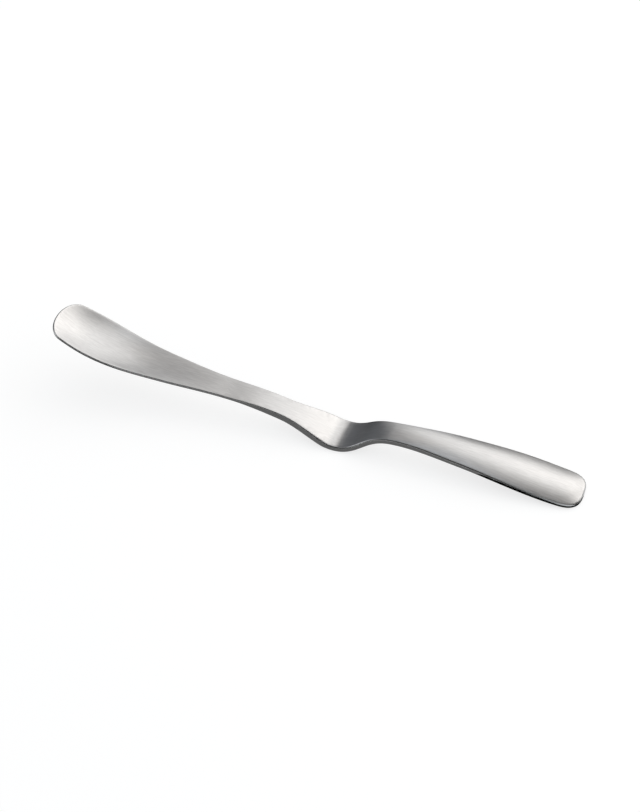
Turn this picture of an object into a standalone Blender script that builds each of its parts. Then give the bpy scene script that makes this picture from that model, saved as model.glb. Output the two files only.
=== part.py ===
"""Cranked one-piece jam spoon in satin stainless steel, as it lies when set down on a table.

The spoon is one forging. Its blank is described flat, by runs along its centre line with a width,
an edge thickness and a slope at each named place, and is then bent along those slopes. The blade is
dished, the handle is crowned, and every edge is rounded over. X runs from the blade tip to the
handle end, Y across, Z up. The foot of the crank and the handle end stand on z = 0.
"""
import math

import bmesh
import bpy
import numpy as np

# Runs along the bent centre line, one after the other from the blade tip to the handle end
TIP_TO_BELLY = 0.0145
BELLY_TO_HEEL = 0.0285
HEEL_TO_NECK = 0.0235
NECK_TO_WAIST = 0.0225
WAIST_TO_RAMP = 0.0165
RAMP_TO_FOOT = 0.0040
FOOT_TO_RISER = 0.0115
RISER_TO_CREST = 0.0112
CREST_TO_SHOULDER = 0.0250
SHOULDER_TO_BUTT = 0.0270
BUTT_TO_END = 0.0158

# Slopes in degrees at those places, positive where the spoon climbs towards the handle end
TIP_SLOPE = -25.4
BELLY_SLOPE = -21.5
HEEL_SLOPE = -8.0
NECK_SLOPE = -5.7
WAIST_SLOPE = -13.3
RAMP_SLOPE = -19.1
FOOT_SLOPE = -8.4
RISER_SLOPE = 33.3
CREST_SLOPE = 4.0
SHOULDER_SLOPE = -5.6
BUTT_SLOPE = -9.4
END_SLOPE = -3.9

# Widths of the flat blank
TIP_WIDTH = 0.0194
BELLY_WIDTH = 0.0218
HEEL_WIDTH = 0.0155
NECK_WIDTH = 0.0106
WAIST_WIDTH = 0.0093
FOOT_WIDTH = 0.0155
CREST_WIDTH = 0.0100
SHOULDER_WIDTH = 0.0145
BUTT_WIDTH = 0.0183
END_WIDTH = 0.0178

# Thicknesses at the edge
TIP_EDGE = 0.0010
HEEL_EDGE = 0.0012
NECK_EDGE = 0.0012
WAIST_EDGE = 0.0028
RAMP_EDGE = 0.0026
FOOT_EDGE = 0.0022
CREST_EDGE = 0.0023
SHOULDER_EDGE = 0.0020
BUTT_EDGE = 0.0018
END_EDGE = 0.0015

# Rounding of the two ends in plan: its length, and 2 for an ellipse or more for a squarer end
TIP_ROUNDING = 0.0059
TIP_SQUARENESS = 2.1
END_ROUNDING = 0.0092
END_SQUARENESS = 3.1

# Dish of the blade, crown of the handle, and how far from each end they have run out
BLADE_DISH = 0.0015
CREST_CROWN = 0.0005
HANDLE_CROWN = 0.0014
DISH_RUN_OUT = 0.0140
CROWN_RUN_OUT = 0.0090

# Radii along the upper edges of blade, crank and handle and along all lower edges, the most of a
# thin edge's thickness that each may take, and how deep the standing places are polished flat
BLADE_EDGE_RADIUS = 0.0004
CRANK_EDGE_RADIUS = 0.0007
HANDLE_EDGE_RADIUS = 0.0008
LOWER_EDGE_RADIUS = 0.0006
UPPER_SHARE = 0.50
LOWER_SHARE = 0.40
STANDING_FLAT = 0.0001

# Fineness of the mesh
LONGEST_STEP = 0.0022
SHARPEST_STEP = math.radians(2.5)
NOSE_STEPS = 10
ROW_POINTS = 11
ROLL_STEPS = 3
CENTRE_LINE_STEPS = 4000
LEAST_STEP = 0.0008
WELD_DISTANCE = 1e-7

STEEL_COLOUR = (0.62, 0.61, 0.60, 1.0)
STEEL_ROUGHNESS = 0.34
SMOOTH_BELOW = math.radians(35.0)

RUNS = [TIP_TO_BELLY, BELLY_TO_HEEL, HEEL_TO_NECK, NECK_TO_WAIST, WAIST_TO_RAMP, RAMP_TO_FOOT,
        FOOT_TO_RISER, RISER_TO_CREST, CREST_TO_SHOULDER, SHOULDER_TO_BUTT, BUTT_TO_END]
PLACES = np.concatenate(([0.0], np.cumsum(RUNS)))
TIP, BELLY, HEEL, NECK, WAIST, RAMP, FOOT, RISER, CREST, SHOULDER, BUTT, END = PLACES
SLOPES = np.radians([TIP_SLOPE, BELLY_SLOPE, HEEL_SLOPE, NECK_SLOPE, WAIST_SLOPE, RAMP_SLOPE,
                     FOOT_SLOPE, RISER_SLOPE, CREST_SLOPE, SHOULDER_SLOPE, BUTT_SLOPE, END_SLOPE])


def flow(places, values, along):
    """Smooth curve through the values that never swings past them (monotone cubic)."""
    places = np.asarray(places, dtype=float)
    values = np.asarray(values, dtype=float)
    run = np.diff(places)
    rise = np.diff(values) / run
    slope = np.concatenate(([rise[0]], np.zeros(len(rise) - 1), [rise[-1]]))
    for k in range(1, len(rise)):
        if rise[k - 1] * rise[k] > 0.0:
            before = 2.0 * run[k] + run[k - 1]
            after = run[k] + 2.0 * run[k - 1]
            slope[k] = (before + after) / (before / rise[k - 1] + after / rise[k])
    k = np.clip(np.searchsorted(places, along, side="right") - 1, 0, len(run) - 1)
    t = np.clip((along - places[k]) / run[k], 0.0, 1.0)
    held = (1.0 + 2.0 * t) * (1.0 - t) ** 2 * values[k] + t * t * (3.0 - 2.0 * t) * values[k + 1]
    return held + run[k] * (t * (1.0 - t) ** 2 * slope[k] - t * t * (1.0 - t) * slope[k + 1])


def nose(share, squareness):
    """Superellipse quarter: 0 at the very end, 1 where the rounding stops."""
    left = 1.0 - np.clip(share, 0.0, 1.0)
    return (1.0 - left ** squareness) ** (1.0 / squareness)


def run_out(share):
    """Parabola from 0 at the very end to 1 where the run-out stops."""
    left = 1.0 - np.clip(share, 0.0, 1.0)
    return 1.0 - left ** 2


def half_width(along):
    places = [TIP, BELLY, HEEL, NECK, WAIST, FOOT, CREST, SHOULDER, BUTT, END]
    widths = [TIP_WIDTH, BELLY_WIDTH, HEEL_WIDTH, NECK_WIDTH, WAIST_WIDTH, FOOT_WIDTH, CREST_WIDTH,
              SHOULDER_WIDTH, BUTT_WIDTH, END_WIDTH]
    at_tip = nose(along / TIP_ROUNDING, TIP_SQUARENESS)
    at_end = nose((END - along) / END_ROUNDING, END_SQUARENESS)
    return 0.5 * flow(places, widths, along) * at_tip * at_end


def edge_thickness(along):
    places = [TIP, HEEL, NECK, WAIST, RAMP, FOOT, CREST, SHOULDER, BUTT, END]
    edges = [TIP_EDGE, HEEL_EDGE, NECK_EDGE, WAIST_EDGE, RAMP_EDGE, FOOT_EDGE, CREST_EDGE,
             SHOULDER_EDGE, BUTT_EDGE, END_EDGE]
    return flow(places, edges, along)


def upper_radius(along):
    """Radius along the upper edge, larger where fingers rest."""
    places = [TIP, WAIST, FOOT, CREST, SHOULDER, END]
    radii = [BLADE_EDGE_RADIUS, BLADE_EDGE_RADIUS, CRANK_EDGE_RADIUS, CRANK_EDGE_RADIUS,
             HANDLE_EDGE_RADIUS, HANDLE_EDGE_RADIUS]
    return flow(places, radii, along)


def crown(along):
    """Rise of the top face at the centre line above its edges, below zero where it is dished."""
    places = [TIP, BELLY, NECK, FOOT, CREST, SHOULDER, END]
    rises = [-BLADE_DISH, -BLADE_DISH, 0.0, 0.0, CREST_CROWN, HANDLE_CROWN, HANDLE_CROWN]
    ends = run_out(along / DISH_RUN_OUT) * run_out((END - along) / CROWN_RUN_OUT)
    return flow(places, rises, along) * ends


def centre_line():
    """Bend the blank, tilt it until foot and handle end stand level, and set it down on z = 0."""
    along = np.linspace(TIP, END, CENTRE_LINE_STEPS + 1)
    slope = flow(PLACES, SLOPES, along)
    between = 0.5 * (slope[1:] + slope[:-1])
    step = np.diff(along)
    x = np.concatenate(([0.0], np.cumsum(np.cos(between) * step)))
    z = np.concatenate(([0.0], np.cumsum(np.sin(between) * step)))

    under = 0.5 * edge_thickness(along)
    under_x = x + under * np.sin(slope)
    under_z = z - under * np.cos(slope)
    front = along < CREST
    lean = np.arctan2(under_z[-1] - under_z[front], under_x[-1] - under_x[front]).max()
    floor = under_z[-1] * math.cos(lean) - under_x[-1] * math.sin(lean) + STANDING_FLAT
    set_x = x * math.cos(lean) + z * math.sin(lean)
    set_z = z * math.cos(lean) - x * math.sin(lean) - floor
    return along, set_x, set_z, slope - lean


def stations():
    """Places of the rings: close together round both ends and in the bends."""
    round_off = np.linspace(0.0, 0.5 * math.pi, NOSE_STEPS + 1)
    tip = TIP + TIP_ROUNDING * (1.0 - np.cos(round_off) ** (2.0 / TIP_SQUARENESS))
    end = END - END_ROUNDING * (1.0 - np.cos(round_off) ** (2.0 / END_SQUARENESS))
    middle = []
    for k, run in enumerate(RUNS):
        turn = abs(SLOPES[k + 1] - SLOPES[k])
        steps = math.ceil(max(run / LONGEST_STEP, turn / SHARPEST_STEP))
        middle.extend(np.linspace(PLACES[k], PLACES[k + 1], steps, endpoint=False))
    middle = np.array(middle)
    clear = (middle > tip[-1] + LEAST_STEP) & (middle < end[-1] - LEAST_STEP)
    return np.concatenate((tip, middle[clear], end[::-1]))


def outward(along, half):
    """Outward direction of the blank's outline at each ring, as along and across parts."""
    along = np.concatenate(([along[1]], along, [along[-2]]))
    half = np.concatenate(([-half[1]], half, [-half[-2]]))
    forward = along[2:] - along[:-2]
    aside = half[2:] - half[:-2]
    length = np.hypot(forward, aside)
    return -aside / length, forward / length


def lean_at_edge(rise, half, across):
    """Angle at which a face of that rise meets its edge; each end ring copies its neighbour."""
    inner = slice(1, -1)
    lean = np.zeros_like(rise)
    lean[inner] = np.arctan(2.0 * rise[inner] / (half[inner] * across[inner]))
    lean[0] = lean[1]
    lean[-1] = lean[-2]
    return lean


def half_section():
    """One side of every ring, from the top face round the edge: along, across and height arrays."""
    along = stations()
    half = half_width(along)
    ahead, across = outward(along, half)
    thick = edge_thickness(along)
    upper = np.minimum(upper_radius(along), UPPER_SHARE * thick)
    lower = np.minimum(LOWER_EDGE_RADIUS, LOWER_SHARE * thick)
    rise = crown(along)
    sink = np.minimum(rise, 0.0)
    top_turn = 0.5 * math.pi - lean_at_edge(rise, half, across)
    under_turn = 0.5 * math.pi + lean_at_edge(sink, half, across)

    roll = []
    for k in range(ROLL_STEPS + 1):
        turn = top_turn * (1.0 - k / ROLL_STEPS)
        roll.append((turn, upper, 0.5 * thick - upper))
    for k in range(ROLL_STEPS + 1):
        turn = -under_turn * k / ROLL_STEPS
        roll.append((turn, lower, lower - 0.5 * thick))
    edge = []
    for turn, radius, level in roll:
        out = radius * (np.cos(turn) - 1.0)
        edge.append((along + out * ahead, half + out * across, level + radius * np.sin(turn)))
    return edge, rise, sink


def rings():
    """All ring points in blank coordinates, each ring going round the section once."""
    edge, rise, sink = half_section()
    row = np.linspace(1.0, -1.0, ROW_POINTS)[1:-1]
    loop = edge[::-1]
    s, y, h = edge[0]
    loop += [(s, v * y, h + rise * (1.0 - v * v)) for v in row]
    loop += [(s, -y, h) for s, y, h in edge]
    s, y, h = edge[-1]
    loop += [(s, -v * y, h + sink * (1.0 - v * v)) for v in row]
    return np.transpose(np.array(loop), (2, 0, 1))


def bend(points):
    """Carry blank points onto the bent centre line and centre the spoon on x = 0."""
    along, x, z, slope = centre_line()
    s, y, h = points[..., 0], points[..., 1], points[..., 2]
    angle = np.interp(s, along, slope)
    px = np.interp(s, along, x) - h * np.sin(angle)
    pz = np.interp(s, along, z) + h * np.cos(angle)
    px -= 0.5 * (px.min() + px.max())
    return np.stack((px, y, np.maximum(pz, 0.0)), axis=-1)


def steel():
    material = bpy.data.materials.new("satin_steel")
    material.use_nodes = True
    shader = material.node_tree.nodes["Principled BSDF"]
    shader.inputs["Base Color"].default_value = STEEL_COLOUR
    shader.inputs["Metallic"].default_value = 1.0
    shader.inputs["Roughness"].default_value = STEEL_ROUGHNESS
    return material


def spoon_body():
    """Loft the rings into one closed body."""
    shape = bmesh.new()
    loops = [[shape.verts.new(point) for point in ring] for ring in bend(rings())]
    for ring, ahead in zip(loops[:-1], loops[1:]):
        for k in range(len(ring)):
            shape.faces.new((ring[k - 1], ring[k], ahead[k], ahead[k - 1]))
    bmesh.ops.remove_doubles(shape, verts=shape.verts[:], dist=WELD_DISTANCE)
    bmesh.ops.recalc_face_normals(shape, faces=shape.faces[:])
    mesh = bpy.data.meshes.new("spoon_body")
    shape.to_mesh(mesh)
    shape.free()
    mesh.shade_smooth()
    mesh.set_sharp_from_angle(angle=SMOOTH_BELOW)
    mesh.materials.append(steel())
    body = bpy.data.objects.new("spoon_body", mesh)
    bpy.context.scene.collection.objects.link(body)
    return body


def main():
    for old in list(bpy.data.objects):
        bpy.data.objects.remove(old, do_unlink=True)
    spoon_body()


main()
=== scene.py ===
import math

import bmesh
import bpy
import numpy as np
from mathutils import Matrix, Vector

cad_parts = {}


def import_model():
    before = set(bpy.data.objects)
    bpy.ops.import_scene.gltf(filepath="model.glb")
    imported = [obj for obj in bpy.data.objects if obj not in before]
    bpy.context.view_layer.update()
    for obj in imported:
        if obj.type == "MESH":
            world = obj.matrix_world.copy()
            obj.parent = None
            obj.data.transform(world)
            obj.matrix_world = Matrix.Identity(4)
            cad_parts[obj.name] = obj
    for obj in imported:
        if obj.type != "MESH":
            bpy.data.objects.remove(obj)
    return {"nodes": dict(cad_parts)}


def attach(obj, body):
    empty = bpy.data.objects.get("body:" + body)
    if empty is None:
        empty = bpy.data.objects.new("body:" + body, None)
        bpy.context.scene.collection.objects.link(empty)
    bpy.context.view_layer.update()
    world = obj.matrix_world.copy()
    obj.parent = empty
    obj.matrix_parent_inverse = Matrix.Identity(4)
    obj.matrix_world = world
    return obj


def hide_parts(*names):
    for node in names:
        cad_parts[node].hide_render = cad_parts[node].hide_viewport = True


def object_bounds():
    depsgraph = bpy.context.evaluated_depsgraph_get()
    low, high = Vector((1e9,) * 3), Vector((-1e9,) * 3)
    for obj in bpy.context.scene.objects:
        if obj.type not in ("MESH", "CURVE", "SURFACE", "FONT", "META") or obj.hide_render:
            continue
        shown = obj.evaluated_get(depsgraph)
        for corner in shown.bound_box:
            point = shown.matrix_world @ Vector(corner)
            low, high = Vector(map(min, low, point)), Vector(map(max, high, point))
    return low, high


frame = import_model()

cad_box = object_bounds()
CENTRE = (cad_box[0] + cad_box[1]) / 2

# The photograph: its long side and focal length in pixels, and where it was taken from
PHOTO_LONG_SIDE = 812
FOCAL_LENGTH = 1600
SENSOR = 36.0
CAMERA_AZIMUTH = 20.0
CAMERA_ELEVATION = 40.0
CAMERA_DISTANCE = 0.5556
AIM_OFFSET = Vector((0.0026, 0.0, -0.0012))
NEAREST_SEEN = 0.01

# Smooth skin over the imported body
WELD_DISTANCE = 1e-6
SMOOTH_LEVELS = 2
PROFILE_BINS = 80

# Satin stainless steel: brushed lengthwise, mirroring more softly across than along, and with
# rims that handling has polished
STEEL = 0.62
STREAK_CONTRAST = 0.13
ROUGHNESS = 0.32
ROUGHNESS_CHANGE = 0.04
RIM_ROUGHNESS = 0.18
ANISOTROPY = 0.36
ACROSS = 0.25
STREAK_LENGTH = 0.004
STREAK_WIDTH = 0.0004
STREAK_DEPTH = 0.00002
STREAK_STRENGTH = 0.05
SMUDGE = 0.025
NOISE_DETAIL = 2.0
RIM_STARTS = 0.15
RIM_FULL = 0.60

# Studio: a floor that looks white, an even cool world, warm lamps, and cards that only the steel
# mirrors, as painted reflections of darker surroundings and of a shaded floor round the spoon
WHITE = (1.0, 1.0, 1.0, 1.0)
FLOOR_SIDE = 40.0
FLOOR_COLOUR = (0.30, 0.30, 0.30, 1.0)
FLOOR_GLOW = 0.735
DAYLIGHT = 0.70
COOL = (0.97, 1.0, 1.03, 1.0)
WARM = (1.065, 1.0, 0.935)
BLUISH_GREY = (0.130, 0.135, 0.145)
BLACK = (0.0, 0.0, 0.0)
LAMP_DISTANCE = 1.0
FLAG_DISTANCE = 0.9
MAT_LIFT = 0.0002


def link(obj):
    bpy.context.scene.collection.objects.link(obj)
    return obj


def towards(azimuth, elevation):
    """Unit vector; azimuth 0 points along +Y, away from the camera's side, and 90 along +X."""
    a = math.radians(azimuth)
    e = math.radians(elevation)
    return Vector((math.sin(a) * math.cos(e), math.cos(a) * math.cos(e), math.sin(e)))


def middle_height(points):
    """Height of the bent blank's middle at each point, from the frame's own profile."""
    x, z = points[:, 0], points[:, 2]
    edges = np.linspace(x.min(), x.max(), PROFILE_BINS + 1)
    bins = np.clip(np.digitize(x, edges) - 1, 0, PROFILE_BINS - 1)
    filled = np.unique(bins)
    places = [x[bins == k].mean() for k in filled]
    heights = [0.5 * (z[bins == k].min() + z[bins == k].max()) for k in filled]
    return np.interp(x, places, heights)


def lengthwise(vert):
    """Direction of the spoon's length at a vertex of the quad skin."""
    steps = [edge.other_vert(vert).co - vert.co for edge in vert.link_edges]
    ahead = max(steps, key=lambda step: step.normalized().x)
    behind = min(steps, key=lambda step: step.normalized().x)
    return (ahead - behind).normalized()


def rim_share(vert, along):
    """0 on the broad faces and 1 on the rounded rim, from how far the surface turns sideways."""
    upward = Vector((-along.z, 0.0, along.x)).normalized()
    turned = 1.0 - abs(vert.normal.dot(upward))
    return min(max((turned - RIM_STARTS) / (RIM_FULL - RIM_STARTS), 0.0), 1.0)


def vectors(mesh, name, values):
    layer = mesh.attributes.new(name, "FLOAT_VECTOR", "POINT")
    layer.data.foreach_set("vector", np.asarray(values, dtype=np.float32).ravel())


def numbers(mesh, name, values):
    layer = mesh.attributes.new(name, "FLOAT", "POINT")
    layer.data.foreach_set("value", np.asarray(values, dtype=np.float32))


def spoon():
    """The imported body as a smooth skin: welded, joined into quads and subdivided."""
    shape = bmesh.new()
    shape.from_mesh(frame["nodes"]["spoon_body"].data)
    bmesh.ops.remove_doubles(shape, verts=shape.verts[:], dist=WELD_DISTANCE)
    bmesh.ops.join_triangles(shape, faces=shape.faces[:], angle_face_threshold=math.pi,
                             angle_shape_threshold=math.pi)
    shape.normal_update()
    points = np.array([vert.co for vert in shape.verts])
    along = [lengthwise(vert) for vert in shape.verts]
    rim = [rim_share(vert, direction) for vert, direction in zip(shape.verts, along)]
    mesh = bpy.data.meshes.new("spoon")
    shape.to_mesh(mesh)
    shape.free()
    flat = points.copy()
    flat[:, 2] -= middle_height(points)
    vectors(mesh, "flat", flat)
    vectors(mesh, "along", along)
    numbers(mesh, "rim", rim)
    mesh.shade_smooth()
    mesh.materials.append(steel())

    obj = link(bpy.data.objects.new("spoon", mesh))
    smooth = obj.modifiers.new("smooth", "SUBSURF")
    smooth.levels = SMOOTH_LEVELS
    smooth.render_levels = SMOOTH_LEVELS
    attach(obj, "root")
    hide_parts("spoon_body")


class Nodes:
    """A node tree with short calls to add and link nodes."""

    def __init__(self, owner):
        owner.use_nodes = True
        self.tree = owner.node_tree

    def add(self, kind, **settings):
        node = self.tree.nodes.new("ShaderNode" + kind)
        for name, value in settings.items():
            setattr(node, name, value)
        return node

    def join(self, output, node_input):
        self.tree.links.new(output, node_input)

    def math(self, operation, first, second):
        node = self.add("Math", operation=operation)
        for socket, value in zip(node.inputs, (first, second)):
            if isinstance(value, (int, float)):
                socket.default_value = value
            else:
                self.join(value, socket)
        return node.outputs["Value"]

    def noise(self, vector, length, width):
        """Noise from 0 to 1 in grains of that length and width."""
        stretched = self.add("VectorMath", operation="MULTIPLY")
        stretched.inputs[1].default_value = (1 / length, 1 / width, 1 / width)
        self.join(vector, stretched.inputs[0])
        node = self.add("TexNoise")
        node.inputs["Scale"].default_value = 1.0
        node.inputs["Detail"].default_value = NOISE_DETAIL
        self.join(stretched.outputs["Vector"], node.inputs["Vector"])
        return node.outputs["Fac"]

    def spread(self, value, low, high):
        """A value from 0 to 1 spread between two levels."""
        node = self.add("MapRange")
        node.inputs["To Min"].default_value = low
        node.inputs["To Max"].default_value = high
        self.join(value, node.inputs["Value"])
        return node.outputs["Result"]


def steel():
    """Satin steel brushed along the length, with soft smudges from handling and polished rims."""
    material = bpy.data.materials.new("satin_steel")
    nodes = Nodes(material)
    shader = nodes.tree.nodes["Principled BSDF"]
    flat = nodes.add("Attribute", attribute_name="flat").outputs["Vector"]
    along = nodes.add("Attribute", attribute_name="along").outputs["Vector"]
    rim = nodes.add("Attribute", attribute_name="rim").outputs["Fac"]
    streaks = nodes.noise(flat, STREAK_LENGTH, STREAK_WIDTH)
    smudges = nodes.noise(flat, SMUDGE, SMUDGE)
    grain = nodes.math("DIVIDE", nodes.math("ADD", streaks, smudges), 2.0)
    faces = nodes.spread(grain, ROUGHNESS - ROUGHNESS_CHANGE, ROUGHNESS + ROUGHNESS_CHANGE)
    rough = nodes.add("Mix")
    rough.inputs["B"].default_value = RIM_ROUGHNESS
    nodes.join(rim, rough.inputs["Factor"])
    nodes.join(faces, rough.inputs["A"])
    tone = nodes.spread(streaks, STEEL - STREAK_CONTRAST, STEEL + STREAK_CONTRAST)
    bump = nodes.add("Bump")
    bump.inputs["Strength"].default_value = STREAK_STRENGTH
    bump.inputs["Distance"].default_value = STREAK_DEPTH
    nodes.join(streaks, bump.inputs["Height"])
    shader.inputs["Metallic"].default_value = 1.0
    shader.inputs["Anisotropic"].default_value = ANISOTROPY
    shader.inputs["Anisotropic Rotation"].default_value = ACROSS
    nodes.join(tone, shader.inputs["Base Color"])
    nodes.join(rough.outputs["Result"], shader.inputs["Roughness"])
    nodes.join(along, shader.inputs["Tangent"])
    nodes.join(bump.outputs["Normal"], shader.inputs["Normal"])
    return material


def sheet(name, width, depth, material):
    """Flat sheet of the studio, facing up."""
    shape = bmesh.new()
    bmesh.ops.create_grid(shape, x_segments=1, y_segments=1, size=0.5)
    bmesh.ops.scale(shape, verts=shape.verts[:], vec=(width, depth, 1.0))
    mesh = bpy.data.meshes.new(name)
    shape.to_mesh(mesh)
    shape.free()
    mesh.materials.append(material)
    obj = link(bpy.data.objects.new(name, mesh))
    return obj


# Emission of a card that only the steel mirrors: the colour of a painted reflection
def painted_reflection_material(name, colour):
    material = bpy.data.materials.new(name)
    nodes = Nodes(material)
    nodes.tree.nodes.clear()
    emission = nodes.add("Emission")
    emission.inputs["Color"].default_value = (*colour, 1.0)
    output = nodes.add("OutputMaterial")
    nodes.join(emission.outputs["Emission"], output.inputs["Surface"])
    return material


def grey(level):
    return (level, level, level)


def only_mirrored(obj):
    """The steel mirrors the card, and nothing else sees it: the card is a painted reflection."""
    obj.visible_camera = False
    obj.visible_diffuse = False
    obj.visible_transmission = False
    obj.visible_volume_scatter = False
    obj.visible_shadow = False


def face_spoon(obj, azimuth, elevation, distance):
    """Set a lamp or card at that distance in that direction, turned to the spoon."""
    direction = towards(azimuth, elevation)
    obj.location = CENTRE + direction * distance
    obj.rotation_euler = direction.to_track_quat("Z", "Y").to_euler()


def flag(name, azimuth, elevation, width, height, colour):
    """Card that stands round the spoon, seen only by the steel: a painted reflection of darker
    surroundings.
    """
    obj = sheet(name, width, height, painted_reflection_material(name, colour))
    face_spoon(obj, azimuth, elevation, FLAG_DISTANCE)
    only_mirrored(obj)


def mat(name, x, y, colour):
    """Card that lies on the floor between two x and two y values, seen only by the steel: painted
    shade, a darker floor in its reflections than the white one.
    """
    obj = sheet(name, x[1] - x[0], y[1] - y[0], painted_reflection_material(name, colour))
    obj.location = (sum(x) / 2, sum(y) / 2, MAT_LIFT)
    only_mirrored(obj)


def softbox(name, azimuth, elevation, width, height, radiance):
    data = bpy.data.lights.new(name, "AREA")
    data.shape = "RECTANGLE"
    data.size = width
    data.size_y = height
    data.energy = radiance * math.pi * width * height
    data.color = WARM
    obj = link(bpy.data.objects.new(name, data))
    face_spoon(obj, azimuth, elevation, LAMP_DISTANCE)
    obj.visible_camera = False


def floor():
    """Floor that glows to the camera and to mirrors: white there, with the spoon's faint shadow."""
    material = bpy.data.materials.new("floor")
    nodes = Nodes(material)
    shader = nodes.tree.nodes["Principled BSDF"]
    shader.inputs["Base Color"].default_value = FLOOR_COLOUR
    shader.inputs["Roughness"].default_value = 1.0
    shader.inputs["Specular IOR Level"].default_value = 0.0
    shader.inputs["Emission Color"].default_value = WHITE
    path = nodes.add("LightPath").outputs
    mirrored = nodes.math("MAXIMUM", path["Is Glossy Ray"], path["Is Transmission Ray"])
    seen = nodes.math("MAXIMUM", path["Is Camera Ray"], mirrored)
    nodes.join(nodes.math("MULTIPLY", seen, FLOOR_GLOW), shader.inputs["Emission Strength"])
    sheet("floor", FLOOR_SIDE, FLOOR_SIDE, material)


def world():
    """Even studio light from all round."""
    studio = bpy.data.worlds.new("studio")
    bpy.context.scene.world = studio
    background = Nodes(studio).tree.nodes["Background"]
    background.inputs["Color"].default_value = COOL
    background.inputs["Strength"].default_value = DAYLIGHT


def camera():
    data = bpy.data.cameras.new("camera")
    data.sensor_width = SENSOR
    data.lens = SENSOR * FOCAL_LENGTH / PHOTO_LONG_SIDE
    data.clip_start = NEAREST_SEEN
    obj = link(bpy.data.objects.new("camera", data))
    back = towards(180.0 - CAMERA_AZIMUTH, CAMERA_ELEVATION)
    obj.location = CENTRE + AIM_OFFSET + back * CAMERA_DISTANCE
    obj.rotation_euler = (-back).to_track_quat("-Z", "Y").to_euler()
    bpy.context.scene.camera = obj


def lamps():
    softbox("key", azimuth=18.0, elevation=41.0, width=1.20, height=1.23, radiance=0.62)
    softbox("core", azimuth=62.0, elevation=40.5, width=1.85, height=0.60, radiance=0.61)


def painted_reflection_cards():
    """Painted reflections: surroundings darker than the world, and a darker floor in place of its
    shade round the spoon, which give the steel its bands.
    """
    # Painted reflections of darker surroundings, set round the spoon
    flag("left_flag", azimuth=-56.5, elevation=19.0, width=1.15, height=2.50, colour=BLUISH_GREY)
    flag("front_flag", azimuth=192.0, elevation=36.0, width=0.75, height=1.65, colour=grey(0.04))
    flag("right_flag", azimuth=77.0, elevation=38.0, width=0.85, height=1.75, colour=grey(0.06))
    flag("corner_flag", azimuth=-21.0, elevation=13.5, width=0.24, height=0.49, colour=grey(0.38))
    flag("back_flag", azimuth=17.0, elevation=2.0, width=0.72, height=0.55, colour=grey(0.17))
    # Painted shade: a darker floor under and round the spoon, in the steel's reflections only
    mat("tip_mat", x=(-0.20, -0.075), y=(-0.10, 0.02), colour=grey(0.03))
    mat("near_mat", x=(-0.075, 0.06), y=(-0.06, 0.0), colour=grey(0.17))
    mat("end_mat", x=(0.06, 0.30), y=(-0.25, 0.0), colour=BLACK)
    mat("back_mat", x=(-0.80, 0.30), y=(0.02, 0.80), colour=BLACK)


bpy.context.scene.view_settings.view_transform = "Standard"
spoon()
floor()
world()
lamps()
painted_reflection_cards()
camera()
